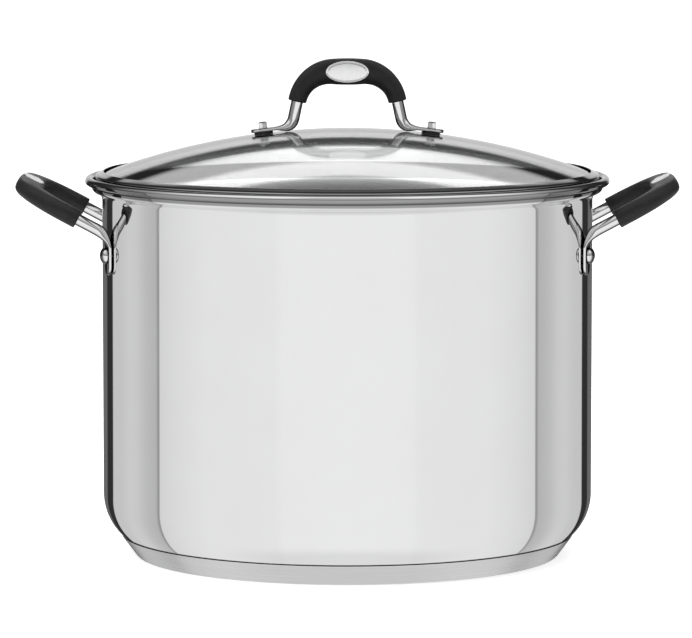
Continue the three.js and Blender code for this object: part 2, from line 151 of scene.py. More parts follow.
# ------------------------------------------------------------------ camera
CAMERA_BACK = 3160.0
CAMERA_UP = 490.0
CAMERA_AIM_Z = 155.0
CAMERA_SIDE = -0.9
CAMERA_LENS = 250.8


def make_camera():
    data = bpy.data.cameras.new("camera")
    data.lens = CAMERA_LENS
    data.sensor_width = 36.0
    data.clip_end = 200.0
    camera = bpy.data.objects.new("camera", data)
    camera.location = Vector((CAMERA_SIDE, -CAMERA_BACK, CAMERA_UP)) * MM
    down = math.atan2(CAMERA_UP - CAMERA_AIM_Z, CAMERA_BACK)
    camera.rotation_euler = (math.pi / 2 - down, 0, 0)
    bpy.context.scene.collection.objects.link(camera)
    bpy.context.scene.camera = camera


make_camera()


# ------------------------------------------------------------------ mesh building
def mesh_piece(name, points, faces, smooth_angle=40):
    """A mesh object from points in millimetres, smooth except at edges sharper than the angle."""
    mesh = bpy.data.meshes.new(name)
    mesh.from_pydata([tuple(Vector(p) * MM) for p in points], [], faces)
    mesh.validate()
    smoothed(mesh, smooth_angle)
    piece = bpy.data.objects.new(name, mesh)
    bpy.context.scene.collection.objects.link(piece)
    return piece


def smoothed(mesh, angle):
    mesh.polygons.foreach_set("use_smooth", [True] * len(mesh.polygons))
    mesh.set_sharp_from_angle(angle=math.radians(angle))
    mesh.update()


def arc(r, z, radius, start, end, steps):
    """Points of an arc in a profile, between two angles in degrees."""
    angles = [math.radians(start + (end - start) * i / steps) for i in range(steps + 1)]
    return [(r + radius * math.cos(a), z + radius * math.sin(a)) for a in angles]


def flowing(points, steps):
    """A smooth curve through a few profile points."""
    ends = [points[0]] + list(points) + [points[-1]]
    made = []
    for before, a, b, after in zip(ends, ends[1:], ends[2:], ends[3:]):
        for i in range(steps):
            t = i / steps
            made.append(tuple(
                0.5 * (2 * q + (r - p) * t + (2 * p - 5 * q + 4 * r - s) * t * t
                       + (3 * q - p - 3 * r + s) * t ** 3)
                for p, q, r, s in zip(before, a, b, after)
            ))
    return made + [points[-1]]


def turned(name, profile, place=None, around=AROUND, smooth_angle=40):
    """Turns a profile of (radius, height) about +Z, from the bottom up its outer side. A profile that
    doesn't start on the axis is a closed ring."""
    looped = profile[0][0] > 0
    points = []
    rows = []
    for r, z in profile:
        if r <= 1e-6:
            rows.append([len(points)] * around)
            points.append(Vector((0, 0, z)))
            continue
        rows.append(list(range(len(points), len(points) + around)))
        for i in range(around):
            angle = 2 * math.pi * i / around
            points.append(Vector((r * math.cos(angle), r * math.sin(angle), z)))
    pairs = list(zip(rows, rows[1:] + rows[:1])) if looped else list(zip(rows, rows[1:]))
    faces = []
    for low, high in pairs:
        for i in range(around):
            j = (i + 1) % around
            corners = [low[i], low[j], high[j], high[i]]
            faces.append([c for k, c in enumerate(corners) if c not in corners[:k]])
    if place:
        points = [place @ p for p in points]
    return mesh_piece(name, points, faces, smooth_angle)


def skinned(name, sections, looped=False, smooth_angle=40):
    """Skins a row of sections with the same number of corners, and caps its ends unless it loops."""
    count = len(sections[0])
    points = [p for section in sections for p in section]
    rows = len(sections) if looped else len(sections) - 1
    faces = []
    for i in range(rows):
        here = i * count
        there = (i + 1) % len(sections) * count
        for j in range(count):
            k = (j + 1) % count
            faces.append([here + j, here + k, there + k, there + j])
    if not looped:
        last = (len(sections) - 1) * count
        faces.append(list(range(count))[::-1])
        faces.append([last + j for j in range(count)])
    return mesh_piece(name, points, faces, smooth_angle)


def bent_line(corners, spacing, turn_steps):
    """Walks a line with rounded corners, given as (point, radius). Returns (point, heading, run)."""
    stations = []

    def visit(point, along):
        step = (point - stations[-1][0]).length if stations else 0.0
        if not stations or step > 0.01:
            stations.append((point, along, stations[-1][2] + step if stations else 0.0))

    def walk_to(target, along):
        start = stations[-1][0]
        parts = max(1, round((target - start).length / spacing))
        for i in range(1, parts + 1):
            visit(start.lerp(target, i / parts), along)

    headings = [(b[0] - a[0]).normalized() for a, b in zip(corners, corners[1:])]
    visit(corners[0][0], headings[0])
    for (at, radius), before, after in zip(corners[1:], headings, headings[1:]):
        turn = before.angle(after)
        start = at - before * (radius * math.tan(turn / 2))
        walk_to(start, before)
        if radius > 0:
            inward = (after - before * math.cos(turn)).normalized()
            centre = start + inward * radius
            for j in range(1, turn_steps + 1):
                a = turn * j / turn_steps
                point = centre - inward * (radius * math.cos(a)) + before * (radius * math.sin(a))
                visit(point, before * math.cos(a) + inward * math.sin(a))
    walk_to(corners[-1][0], headings[-1])
    return stations


def mirrored(corners, axis):
    """Front corners followed by their mirror images in reverse, for a symmetrical line."""
    flip = Vector([-1 if i == axis else 1 for i in range(3)])
    return corners + [(at * flip, radius) for at, radius in reversed(corners)]


def section(station, facing, half_out, half_side, squareness, sides):
    """A section across a station, from an ellipse (squareness 2) to a rounded rectangle."""
    point, along, _ = station
    out = (facing - along * facing.dot(along)).normalized()
    side = along.cross(out)
    made = []
    for i in range(sides):
        angle = 2 * math.pi * i / sides
        c = math.cos(angle)
        s = math.sin(angle)
        x = math.copysign(abs(c) ** (2 / squareness), c)
        y = math.copysign(abs(s) ** (2 / squareness), s)
        made.append(point + out * (half_out * x) + side * (half_side * y))
    return made


def lerp(a, b, t):
    return a + (b - a) * t


def smoothstep(value, low, high):
    t = min(1.0, max(0.0, (value - low) / (high - low)))
    return t * t * (3 - 2 * t)


def baked(target, made_mesh, smooth_angle):
    old = target.data
    target.modifiers.clear()
    target.data = made_mesh
    made_mesh.name = old.name
    bpy.data.meshes.remove(old)
    smoothed(made_mesh, smooth_angle)


def combined(target, tools, operation, smooth_angle=40):
    """Cuts tools out of a piece (DIFFERENCE) or joins them to it (UNION), and removes the tools."""
    for tool in tools:
        cut = target.modifiers.new("cut", "BOOLEAN")
        cut.operation = operation
        cut.solver = "EXACT"
        cut.object = tool
    bpy.context.view_layer.update()
    depsgraph = bpy.context.evaluated_depsgraph_get()
    baked(target, bpy.data.meshes.new_from_object(target.evaluated_get(depsgraph)), smooth_angle)
    for tool in tools:
        data = tool.data
        bpy.data.objects.remove(tool)
        bpy.data.meshes.remove(data)
    return target


def rod_tool(radius, low, high, place, around=48):
    return turned("tool", [(0, low), (radius, low), (radius, high), (0, high)], place, around)


def finished(piece, node, body, material):
    """Places a piece on its body, in the place of its CAD node, with its finish."""
    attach(piece, body)
    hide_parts(node)
    piece.data.materials.clear()
    piece.data.materials.append(material)
    return piece


# ------------------------------------------------------------------ material building
class Finish:
    """A node material, with short ways to add the few kinds of node that the finishes need."""

    def __init__(self, name):
        self.material = bpy.data.materials.new(name)
        self.material.use_nodes = True
        self.tree = self.material.node_tree
        self.shader = self.tree.nodes["Principled BSDF"]
        self.place = self.tree.nodes.new("ShaderNodeTexCoord").outputs["Object"]

    def set(self, **values):
        for key, value in values.items():
            self.shader.inputs[key.replace("_", " ")].default_value = value
        return self

    def link(self, output, target):
        self.tree.links.new(output, target)

    def stretched(self, scale):
        """Object coordinates scaled along each axis."""
        mapping = self.tree.nodes.new("ShaderNodeMapping")
        mapping.inputs["Scale"].default_value = scale
        self.link(self.place, mapping.inputs["Vector"])
        return mapping.outputs["Vector"]

    def math(self, operation, a, b=0.0):
        node = self.tree.nodes.new("ShaderNodeMath")
        node.operation = operation
        for socket, value in zip(node.inputs, (a, b)):
            if isinstance(value, (int, float)):
                socket.default_value = value
            else:
                self.link(value, socket)
        return node.outputs[0]

    def length(self, a, b):
        squares = self.math("ADD", self.math("MULTIPLY", a, a), self.math("MULTIPLY", b, b))
        return self.math("SQRT", squares)

    def round_axis(self, along, radial, height):
        """Coordinates that run round the Z axis: angle, radius and height, each scaled."""
        split = self.tree.nodes.new("ShaderNodeSeparateXYZ")
        self.link(self.place, split.inputs[0])
        x, y, z = split.outputs
        angle = self.math("ARCTAN2", y, x)
        radius = self.length(x, y)
        join = self.tree.nodes.new("ShaderNodeCombineXYZ")
        self.link(self.math("MULTIPLY", angle, along), join.inputs[0])
        self.link(self.math("MULTIPLY", radius, radial), join.inputs[1])
        self.link(self.math("MULTIPLY", z, height), join.inputs[2])
        return join.outputs[0], radius, z

    def noise(self, vector, scale, detail=4.0, roughness=0.5):
        node = self.tree.nodes.new("ShaderNodeTexNoise")
        node.inputs["Scale"].default_value = scale
        node.inputs["Detail"].default_value = detail
        node.inputs["Roughness"].default_value = roughness
        self.link(vector, node.inputs["Vector"])
        return node.outputs["Fac"]

    def spread(self, value, low, high, from_low=0.3, from_high=0.7):
        node = self.tree.nodes.new("ShaderNodeMapRange")
        node.inputs["From Min"].default_value = from_low
        node.inputs["From Max"].default_value = from_high
        node.inputs["To Min"].default_value = low
        node.inputs["To Max"].default_value = high
        self.link(value, node.inputs["Value"])
        return node.outputs["Result"]

    def shade(self, value, dark, light, low=0.3, high=0.7):
        """A colour between two greys or tints, driven by a value."""
        node = self.tree.nodes.new("ShaderNodeValToRGB")
        node.color_ramp.elements[0].position = low
        node.color_ramp.elements[0].color = (*dark, 1)
        node.color_ramp.elements[1].position = high
        node.color_ramp.elements[1].color = (*light, 1)
        self.link(value, node.inputs["Fac"])
        return node.outputs["Color"]

    def mixed_colour(self, share, a, b):
        node = self.tree.nodes.new("ShaderNodeMix")
        node.data_type = "RGBA"
        self.link(share, node.inputs["Factor"])
        colours = [socket for socket in node.inputs if socket.type == "RGBA"]
        self.link(a, colours[0])
        self.link(b, colours[1])
        return next(socket for socket in node.outputs if socket.type == "RGBA")

    def height(self):
        split = self.tree.nodes.new("ShaderNodeSeparateXYZ")
        self.link(self.place, split.inputs[0])
        return split.outputs[2]

    def outline(self, start, end):
        """0 where the surface is seen square on, rising to 1 towards its outline."""
        facing = self.tree.nodes.new("ShaderNodeLayerWeight").outputs["Facing"]
        return self.spread(facing, 0.0, 1.0, start, end)

    def between(self, value, low, high, ease):
        """1 between two heights in millimetres, easing to 0 outside them."""
        above = self.spread(value, 0.0, 1.0, (low - ease / 2) * MM, (low + ease / 2) * MM)
        below = self.spread(value, 1.0, 0.0, (high - ease / 2) * MM, (high + ease / 2) * MM)
        return self.math("MULTIPLY", above, below)

    def flare(self, height):
        """How far the middle of the sheet's thickness leans out of the straight wall below the rim."""
        start = self.spread(height, 0.0, 1.25 * MM, (NECK_Z + 3.0) * MM, (NECK_Z + 5.5) * MM)
        end = self.spread(height, 0.0, 5.35 * MM, (NECK_Z + 5.5) * MM, (NECK_Z + 9.0) * MM)
        return self.math("ADD", start, end)

    def corner_outside(self, height, radius):
        """1 on the outer face of the pot's rounded bottom corner, 0 on its inner face."""
        centre_r = (WALL_R - CORNER_R) * MM
        centre_z = (FLOOR_Z + CORNER_R) * MM
        across = self.math("MAXIMUM", self.math("SUBTRACT", radius, centre_r), 0.0)
        below = self.math("MAXIMUM", self.math("SUBTRACT", centre_z, height), 0.0)
        distance = self.length(across, below)
        return self.math("GREATER_THAN", distance, (CORNER_R - WALL * 0.5) * MM)

    def bump(self, height, distance, strength=1.0, under=None):
        node = self.tree.nodes.new("ShaderNodeBump")
        node.inputs["Strength"].default_value = strength
        node.inputs["Distance"].default_value = distance
        self.link(height, node.inputs["Height"])
        if under:
            self.link(under, node.inputs["Normal"])
        return node.outputs["Normal"]

    def colour(self, output):
        self.link(output, self.shader.inputs["Base Color"])
        return self

    def roughness(self, output):
        self.link(output, self.shader.inputs["Roughness"])
        return self

    def normal(self, output):
        self.link(output, self.shader.inputs["Normal"])
        return self


# The near-black of painted dark reflection and painted shade.
NEAR_BLACK = ((0.03,) * 3, (0.05,) * 3)
POLISH_DEPTH = 0.0000012


def polished_steel(name, low=0.025, high=0.06, tint=0.86, rim=0.06, painted_dark_bands=()):
    """Mirror-polished stainless steel: fine polishing lines, faint smudges and a slight waviness. The grey
    rim is painted towards its outline, and near-black in bands given as (low, high, outline start, outline
    end): painted reflections of the dark things that it would mirror."""
    f = Finish(name).set(Metallic=1.0)
    smudge = f.noise(f.place, 26.0, 5.0, 0.6)
    lines = f.noise(f.stretched((60, 60, 2600)), 1.0, 3.0)
    colour = f.shade(smudge, (tint - 0.02,) * 3, (tint + 0.01, tint + 0.012, tint + 0.015))
    # Painted reflection: the steel darkens to the rim grey towards its outline.
    colour = f.mixed_colour(f.outline(0.18, 0.42), colour, f.shade(smudge, (rim,) * 3, (rim * 1.2,) * 3))
    # Painted reflection: near-black in each listed band.
    for bottom, top, start, end in painted_dark_bands:
        painted_dark_mask = f.math("MULTIPLY", f.between(f.height(), bottom, top, 0.25), f.outline(start, end))
        colour = f.mixed_colour(painted_dark_mask, colour, f.shade(lines, *NEAR_BLACK))
    f.colour(colour)
    f.roughness(f.spread(smudge, low, high))
    wave = f.bump(f.noise(f.place, 14.0, 1.0), 0.00002)
    f.normal(f.bump(lines, POLISH_DEPTH, under=wave))
    return f.material


def pot_steel():
    """The pot's sheet: mirror outside, satin inside with faint turning lines. Painted grey on the shoulder
    and bead, and painted near-black on the bead's top and in the crevice over the base, are painted
    reflection and shade that stand in for what the steel would mirror."""
    f = Finish("pot_steel").set(Metallic=1.0)
    vector, radius, height = f.round_axis(1.5, 900.0, 2600.0)
    lines = f.noise(vector, 1.0, 3.0)
    smudge = f.noise(f.place, 22.0, 5.0, 0.6)
    outside = f.math("GREATER_THAN", radius, f.math("ADD", f.flare(height), (WALL_R - WALL * 0.5) * MM))
    over_rim = f.math("GREATER_THAN", height, (BEAD_Z - 1.5) * MM)
    under = f.math("LESS_THAN", height, (FLOOR_Z + WALL * 0.5) * MM)
    corner = f.corner_outside(height, radius)
    polished = f.math("MAXIMUM", f.math("MAXIMUM", outside, over_rim), f.math("MAXIMUM", under, corner))
    mirror = f.spread(smudge, 0.02, 0.045)
    satin = f.spread(lines, 0.2, 0.34)
    mixed = f.tree.nodes.new("ShaderNodeMix")
    f.link(polished, mixed.inputs["Factor"])
    f.link(satin, mixed.inputs["A"])
    f.link(mirror, mixed.inputs["B"])
    f.roughness(mixed.outputs["Result"])
    colour = f.shade(smudge, (0.855,) * 3, (0.875, 0.877, 0.88))
    # Painted reflection: grey painted on the shoulder and lower bead stands in for the dark things that
    # they would mirror.
    painted_shoulder_grey = f.between(height, PAINTED_SHOULDER_Z, BEAD_Z + 0.5, 0.8)
    colour = f.mixed_colour(painted_shoulder_grey, colour, f.shade(lines, (0.33,) * 3, (0.38, 0.38, 0.385)))
    # Painted near-black: painted shade in the crevice where the corner meets the base, and a painted dark
    # reflection along the bead's top towards its outline.
    painted_dark_mask = f.math("MULTIPLY", f.between(height, FLOOR_Z, BASE_TOP_Z + 0.3, 0.4), corner)
    crest = f.between(height, RIM_TOP - 1.1, RIM_TOP + 1, 0.6)
    painted_dark_mask = f.math("MAXIMUM", painted_dark_mask, f.math("MULTIPLY", crest, f.outline(0.12, 0.55)))
    # Painted dark reflection on the shoulder and bead, growing towards their outline.
    flared = f.between(height, PAINTED_SHOULDER_Z, RIM_TOP + 1, 0.8)
    turned_away = f.math("MULTIPLY", f.outline(0.3, 0.75), flared)
    colour = f.mixed_colour(turned_away, colour, f.shade(smudge, (0.1,) * 3, (0.13,) * 3))
    f.colour(f.mixed_colour(painted_dark_mask, colour, f.shade(lines, *NEAR_BLACK)))
    wave = f.bump(f.noise(f.place, 9.0, 1.0), 0.000025)
    f.normal(f.bump(lines, POLISH_DEPTH, under=wave))
    return f.material


def base_steel():
    """Satin steel with turning lines round the base."""
    f = Finish("base_steel").set(Metallic=1.0)
    vector, _, _ = f.round_axis(2.0, 2200.0, 2200.0)
    lines = f.noise(vector, 1.0, 4.0, 0.65)
    cloud = f.noise(f.place, 30.0, 4.0)
    f.colour(f.shade(lines, (0.66, 0.66, 0.665), (0.78, 0.78, 0.785)))
    f.roughness(f.math("ADD", f.spread(lines, 0.2, 0.3), f.spread(cloud, -0.03, 0.05)))
    f.normal(f.bump(lines, 0.000006))
    return f.material


def inlay_steel():
    """Fine brushed plate: lines along its length."""
    f = Finish("inlay_steel").set(Metallic=1.0)
    lines = f.noise(f.stretched((90, 90, 5200)), 1.0, 3.0, 0.6)
    cloud = f.noise(f.place, 180.0, 3.0)
    f.colour(f.shade(lines, (0.9, 0.9, 0.905), (0.96, 0.96, 0.965)))
    f.roughness(f.math("ADD", f.spread(lines, 0.16, 0.26), f.spread(cloud, -0.02, 0.03)))
    f.normal(f.bump(lines, 0.000003))
    return f.material


def silicone():
    """Matt black silicone: a fine moulded grain, faint dust and a soft sheen."""
    f = Finish("grip_silicone").set(Specular_IOR_Level=0.32, Sheen_Weight=0.02, Sheen_Roughness=0.4)
    grain = f.noise(f.place, 2600.0, 3.0, 0.6)
    cloud = f.noise(f.place, 120.0, 4.0, 0.6)
    dust = f.noise(f.place, 900.0, 2.0)
    dusted = f.math("MULTIPLY", cloud, dust)
    f.colour(f.shade(dusted, (0.006, 0.006, 0.0063), (0.012, 0.012, 0.0123), 0.15, 0.4))
    f.roughness(f.spread(cloud, 0.36, 0.48))
    f.normal(f.bump(grain, 0.00003, under=f.bump(cloud, 0.00006)))
    return f.material


def gasket_rubber():
    f = Finish("gasket_rubber").set(Specular_IOR_Level=0.35)
    grain = f.noise(f.place, 1800.0, 3.0)
    f.colour(f.shade(grain, (0.01, 0.01, 0.01), (0.022, 0.022, 0.022)))
    f.roughness(f.spread(grain, 0.6, 0.75))
    f.normal(f.bump(grain, 0.00003))
    return f.material


def lid_glass_finish():
    """Clear tempered glass with a trace of haze where it has been wiped."""
    f = Finish("lid_glass").set(IOR=1.5, Transmission_Weight=1.0, Coat_Weight=0.0)
    haze = f.noise(f.place, 18.0, 5.0, 0.6)
    f.colour(f.shade(haze, (0.965, 0.975, 0.972), (0.985, 0.99, 0.988)))
    f.roughness(f.spread(haze, 0.0, 0.012))
    f.normal(f.bump(f.noise(f.place, 6.0, 1.0), 0.00004))
    return f.material


def wire_steel():
    """Bright drawn wire with faint draw marks."""
    f = Finish("rack_wire").set(Metallic=1.0)
    cloud = f.noise(f.place, 90.0, 4.0)
    marks = f.noise(f.place, 1400.0, 2.0)
    f.colour(f.shade(cloud, (0.7, 0.7, 0.705), (0.78, 0.78, 0.785)))
    f.roughness(f.spread(cloud, 0.12, 0.22))
    f.normal(f.bump(marks, 0.000004))
    return f.material


def cast_aluminium():
    f = Finish("base_core_metal").set(Metallic=1.0)
    cloud = f.noise(f.place, 60.0, 5.0)
    f.colour(f.shade(cloud, (0.66, 0.67, 0.68), (0.76, 0.77, 0.78)))
    f.roughness(f.spread(cloud, 0.38, 0.55))
    f.normal(f.bump(cloud, 0.00002))
    return f.material


BAND_EDGE_Z = band_high.z - 3.3
# Painted dark reflection on the lid band, as (low, high, outline start, outline end): near-black over its
# lower wall from every angle, and a thin line just above its edge that fades where it is seen square on.
BAND_PAINTED_DARK = [
    (BAND_EDGE_Z - 9.8, BAND_EDGE_Z + 0.1, -1, 0),
    (BAND_EDGE_Z + 0.75, BAND_EDGE_Z + 1.7, 0.02, 0.16),
]
POT = pot_steel()
BASE = base_steel()
HANDLE = polished_steel("handle_steel")
# Painted reflection: the band is a darker copy of the handle's steel, grey 0.6, with 0.25 painted towards
# its outline.
BAND = polished_steel("band_steel", 0.03, 0.07, 0.6, 0.25, BAND_PAINTED_DARK)
INLAY = inlay_steel()
SILICONE = silicone()
RUBBER = gasket_rubber()
GLASS_CLEAR = lid_glass_finish()
WIRE = wire_steel()
ALUMINIUM = cast_aluminium()


# ------------------------------------------------------------------ pot
FOOT_R = WALL_R + GAP + FOOT_THICK / 2
FOOT_X = math.sqrt(FOOT_R ** 2 - ARM_Y ** 2)
FOOT_ANGLE = math.asin(ARM_Y / FOOT_R)


def rivet_place(side, end):
    """A frame at a rivet: its z runs out of the pot's wall, from the pot's axis."""
    angle = math.atan2(end * math.sin(FOOT_ANGLE), side * math.cos(FOOT_ANGLE))
    return (
        Matrix.Translation((0, 0, RIVET_Z))
        @ Matrix.Rotation(angle, 4, "Z")
        @ Matrix.Rotation(math.pi / 2, 4, "Y")
    )


def rivet_holes(side):
    return [
        rod_tool(RIVET_SHANK + GAP / 2, WALL_R - 8, WALL_R + 8, rivet_place(side, end))
        for end in ENDS.values()
    ]


def neck(out, up):
    """A profile point by its distance out from the straight wall and up from the neck."""
    return (WALL_R + out, NECK_Z + up)


def pot_profile():
    corner_r = WALL_R - CORNER_R
    corner_z = FLOOR_Z + CORNER_R
    steps = 30
    wall_rows = (0.4, 1.6, 6, 20, 60, 100, 140, 152, 155, 158, 160, 163, 165, 175, 185, 189, 190.4)
    outer = [(0, FLOOR_Z), (60, FLOOR_Z), (110, FLOOR_Z), (corner_r - 0.5, FLOOR_Z)]
    outer += arc(corner_r, corner_z, CORNER_R, -90, 0, steps)
    outer += [(WALL_R, corner_z + rise) for rise in wall_rows]
    outer += arc(WALL_R + 5.0, NECK_Z + 1.75, 5.0, 180, 121, 10)
    outer += flowing([neck(2.5, 6.08), neck(4.8, 7.1), neck(6.2, 8.4), neck(6.8, 10.1), neck(6.6, 12.0)], 5)
    bead = arc(BEAD_OUT - BEAD_R, BEAD_Z, BEAD_R, -142, 196, 44)
    inner = flowing([
        neck(5.7, 12.2), neck(5.3, 9.3), neck(4.2, 8.0), neck(2.0, 6.8), neck(-0.1, 5.1), neck(-WALL, 3.3),
    ], 4)
    inner += [(WALL_R - WALL, corner_z + rise) for rise in reversed(wall_rows)]
    inner += arc(corner_r, corner_z, CORNER_R - WALL, 0, -90, steps)
    inner += [(r, FLOOR_Z + WALL) for r in (corner_r - 0.5, 90, 40, 0)]
    return outer + bead + inner


def make_pot():
    shell = turned("pot_shell", pot_profile(), smooth_angle=55)
    combined(shell, rivet_holes(1) + rivet_holes(-1), "DIFFERENCE", 55)
    finished(shell, "pot_body", "pot", POT)


def base_side(depth, share):
    run = Vector((BASE_TOP_R - BASE_BOTTOM_R, BASE_TOP_Z - 1)).normalized()
    r = lerp(BASE_BOTTOM_R, BASE_TOP_R, share)
    z = lerp(1.0, BASE_TOP_Z, share)
    return (r - depth * run.y, z + depth * run.x)


def make_base():
    edge = BASE_BOTTOM_R - 1.9
    profile = [(0, 0), (60, 0), (110, 0), (edge - 0.4, 0)]
    profile += arc(edge, 2.0, 2.0, -90, -28, 10)
    profile += [base_side(0, share) for share in (0.02, 0.08, 0.3, 0.6, 0.9, 0.935)]
    lip = ((0.12, 0.965), (0.5, 0.96), (BASE_SHEET, 0.92), (BASE_SHEET, 0.9), (BASE_SHEET, 0.1))
    profile += [base_side(depth, share) for depth, share in lip]
    profile += [(edge - 0.5, BASE_SHEET), (60, BASE_SHEET), (0, BASE_SHEET)]
    cap = turned("base_dish", profile, smooth_angle=35)
    finished(cap, "base_cap", "pot", BASE)
    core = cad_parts["base_core"]
    core.data.materials.clear()
    core.data.materials.append(ALUMINIUM)


# ------------------------------------------------------------------ handles
END_ANGLES = [15, 27, 38, 50, 62, 75, 90]
ROUNDING = 0.9


def end_steps(radius):
    """Distances from a rounded end at which its width changes most."""
    return [radius * (1 - math.cos(math.radians(a))) for a in END_ANGLES]


def pressed_tube(name, stations, facing_at, flat, flat_faces_out, sides=40):
    """A bent tube whose two ends are pressed flat, with rounded tips. flat is (half thickness, half
    width, flat length, length over which it turns round)."""
    thick, wide, flat_length, ease = flat
    total = stations[-1][2]
    sections = []
    for station in stations:
        from_end = min(station[2], total - station[2])
        roundness = smoothstep(from_end, flat_length, flat_length + ease)
        tip = min(1.0, max(0.03, from_end / wide))
        half_wide = lerp(wide * math.sqrt(1 - (1 - tip) ** 2), TUBE_R, roundness)
        edge = 0.55 + 0.45 * min(1.0, from_end / 0.7)
        half_thick = lerp(thick * edge, TUBE_R, roundness)
        squareness = lerp(3.4, 2.0, roundness)
        sizes = (half_thick, half_wide) if flat_faces_out else (half_wide, half_thick)
        sections.append(section(station, facing_at(station), *sizes, squareness, sides))
    return skinned(name, sections)


def sleeve(name, stations, facing, start_run, sides=64):
    """The silicone sleeve over the middle of a bent tube, with rounded lips and an open bore."""
    total = stations[-1][2]
    middle = total / 2
    half = middle - start_run
    covered = [s for s in stations if abs(s[2] - middle) < half + 0.02]
    outer = []
    bore = []
    for station in covered:
        from_middle = abs(station[2] - middle)
        swell = math.cos(math.pi / 2 * min(1.0, from_middle / half)) ** 2
        to_lip = min(ROUNDING, max(0.0, half - from_middle))
        drawn_in = ROUNDING - math.sqrt(ROUNDING ** 2 - (ROUNDING - to_lip) ** 2)
        half_out = lerp(SLEEVE_R, SLEEVE_OUT, swell) - drawn_in
        half_side = lerp(SLEEVE_R, SLEEVE_SIDE, swell) - drawn_in
        squareness = lerp(2.0, SLEEVE_SQUARENESS, swell)
        outer.append(section(station, facing, half_out, half_side, squareness, sides))
        bore.append(section(station, facing, TUBE_R + GAP / 2, TUBE_R + GAP / 2, 2.0, sides))
    return skinned(name, outer + bore[::-1], looped=True, smooth_angle=60)


def oval_ring(inset, scale, height, place, count=96):
    half_wide = (INLAY_WIDE / 2 - inset) * scale
    half_high = (INLAY_HIGH / 2 - inset) * scale
    angles = [2 * math.pi * i / count for i in range(count)]
    return [place @ Vector((half_wide * math.cos(a), half_high * math.sin(a), height)) for a in angles]


def oval_inlay(name, place):
    """A crowned oval plate with a rounded edge and a fine groove inside its rim."""
    rim = [
        (0, 0.3), (0.06, 0.14), (0.2, 0.03), (0.4, 0), (0.8, 0.01), (1, 0.12), (1.15, 0.16), (1.35, 0.12),
        (1.6, 0.06),
    ]
    rows = [oval_ring(0, 1.0, INLAY_FLOOR, place)]
    rows += [oval_ring(inset, 1.0, INLAY_TOP - drop, place) for inset, drop in rim]
    crown = 0.12
    shares = [0.92, 0.8, 0.65, 0.5, 0.35, 0.2, 0.08]
    rows += [
        oval_ring(1.6, share, INLAY_TOP - 0.06 + crown * (1 - share ** 2), place) for share in shares
    ]
    return skinned(name, rows, smooth_angle=50)


def inlay_tool(place):
    """The recess that an inlay sits in."""
    low = INLAY_FLOOR - GAP / 2
    return skinned("tool", [oval_ring(-GAP / 2, 1.0, height, place) for height in (low, low + 8)])


def side_handle_line():
    rise = math.tan(ARM_SLOPE)

    def arm(x):
        return Vector((x, -ARM_Y, ARM_KNEE_Z + (x - FOOT_X) * rise))

    foot = [(Vector((FOOT_X, -ARM_Y, FOOT_BOTTOM + step)), 0.0) for step in [0] + end_steps(FOOT_WIDE / 2)]
    knee = (Vector((FOOT_X, -ARM_Y, ARM_KNEE_Z)), ARM_BEND_R)
    lips = [(arm(SLEEVE_START_X + step), 0.0) for step in (0, 0.08, 0.25, 0.5, 0.8)]
    return bent_line(mirrored(foot + [knee] + lips + [(arm(TIP_X), LOOP_R)], 1), 2.5, 22)


LOOP_UNDER = Vector((math.sin(ARM_SLOPE), 0, -math.cos(ARM_SLOPE)))


def side_facing(station):
    """Off the wall at the feet, and square to the loop's plane elsewhere."""
    point = station[0]
    if point.x > FOOT_X + 4:
        return LOOP_UNDER
    wall = Vector((math.cos(FOOT_ANGLE), math.copysign(math.sin(FOOT_ANGLE), point.y), 0))
    return wall.lerp(Vector((1, 0, 0)), smoothstep(point.z, RIVET_Z + 4, RIVET_Z + 17))


def turn_piece(piece, angle):
    piece.data.transform(Matrix.Rotation(angle, 4, "Z"))
    piece.data.update()
    return piece


def make_side_handle(label, side):
    line = side_handle_line()
    start_run = next(s[2] for s in line if s[0].x > SLEEVE_START_X - 0.02)
    tip_z = ARM_KNEE_Z + (TIP_X - FOOT_X) * math.tan(ARM_SLOPE)
    turn = 0 if side > 0 else math.pi
    place = Matrix((
        (0, -math.cos(ARM_SLOPE), -math.sin(ARM_SLOPE), TIP_X),
        (1, 0, 0, 0),
        (0, -math.sin(ARM_SLOPE), math.cos(ARM_SLOPE), tip_z),
        (0, 0, 0, 1),
    ))
    flat = (FOOT_THICK / 2, FOOT_WIDE / 2, 17, 14)
    tube = turn_piece(pressed_tube(f"handle_bar_{label}", line, side_facing, flat, True), turn)
    combined(tube, rivet_holes(side), "DIFFERENCE")
    finished(tube, f"handle_tube_{label}", "pot", HANDLE)
    grip = sleeve(f"handle_sleeve_{label}", line, LOOP_UNDER, start_run)
    combined(grip, [inlay_tool(place)], "DIFFERENCE", 60)
    finished(turn_piece(grip, turn), f"handle_grip_{label}", "pot", SILICONE)
    plate = turn_piece(oval_inlay(f"handle_oval_{label}", place), turn)
    finished(plate, f"handle_inlay_{label}", "pot", INLAY)
    for end_label, end in ENDS.items():
        node = f"rivet_{label}_{end_label}"
        finished(rivet(f"{node}_domed", rivet_place(side, end)), node, "pot", HANDLE)


def dome(radius, base, height, steps=12):
    """A domed head's profile, from its rim up to the axis."""
    angles = [math.pi / 2 * i / steps for i in range(steps + 1)]
    made = [(radius * math.cos(a), base + height * math.sin(a)) for a in angles]
    return made[:-1] + [(0, base + height)]


def rivet(name, place):
    inner_face = WALL_R - WALL - GAP / 2
    outer_face = WALL_R + GAP + FOOT_THICK + GAP / 2
    inner = [(r, 2 * inner_face - z) for r, z in dome(5.0, inner_face + 0.3, 1.5)]
    profile = inner[::-1] + [(5.0, inner_face), (RIVET_SHANK, inner_face), (RIVET_SHANK, outer_face)]
    profile += [(RIVET_HEAD - 0.3, outer_face), (RIVET_HEAD, outer_face + 0.3)]
    profile += dome(RIVET_HEAD, outer_face + 0.6, 3.3)
    return turned(name, profile, place, 64)


